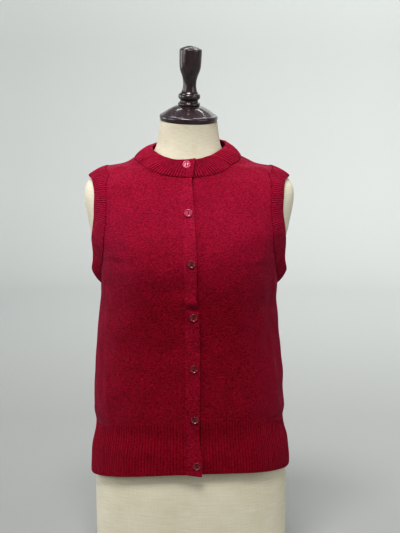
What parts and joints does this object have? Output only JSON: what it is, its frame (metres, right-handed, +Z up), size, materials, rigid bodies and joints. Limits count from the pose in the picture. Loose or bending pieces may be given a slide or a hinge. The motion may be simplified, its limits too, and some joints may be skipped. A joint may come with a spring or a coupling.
{
  "type": "button-front sweater vest on a limbless dress form",
  "caption": "Sleeveless knitted vest with a round ribbed neck, ribbed armholes and deep ribbed hem, buttoned down the front and worn on a limbless dress form with a turned wooden neck cap.",
  "frame": {"origin": "middle of the box round the whole, at the flat base that the dress form stands on", "axes": "+Z up the form to the finial, -Y out of the buttoned front, +X to the wearer's left"},
  "size_m": [0.3844, 0.2667, 0.9592],
  "materials": {
    "jersey": "fine brushed red jersey",
    "rib": "red rib knit",
    "button strip": "red jersey button strip",
    "dress form": "smooth cream cloth cover",
    "turned wood": "dark polished mahogany",
    "button": "glossy burgundy"
  },
  "bodies": {
    "root": {"torso_form": "dress form", "neck_cap": "turned wood", "front_right": "jersey", "front_left": "jersey", "back": "jersey", "hem_front_right": "rib", "hem_front_left": "rib", "hem_back": "rib", "placket_over": "button strip", "placket_under": "button strip", "neckband": "rib", "armhole_band_right": "rib", "armhole_band_left": "rib", "button_1": "button", "button_2": "button", "button_3": "button", "button_4": "button", "button_5": "button", "button_6": "button", "button_7": "button"}
  },
  "joints": []
}
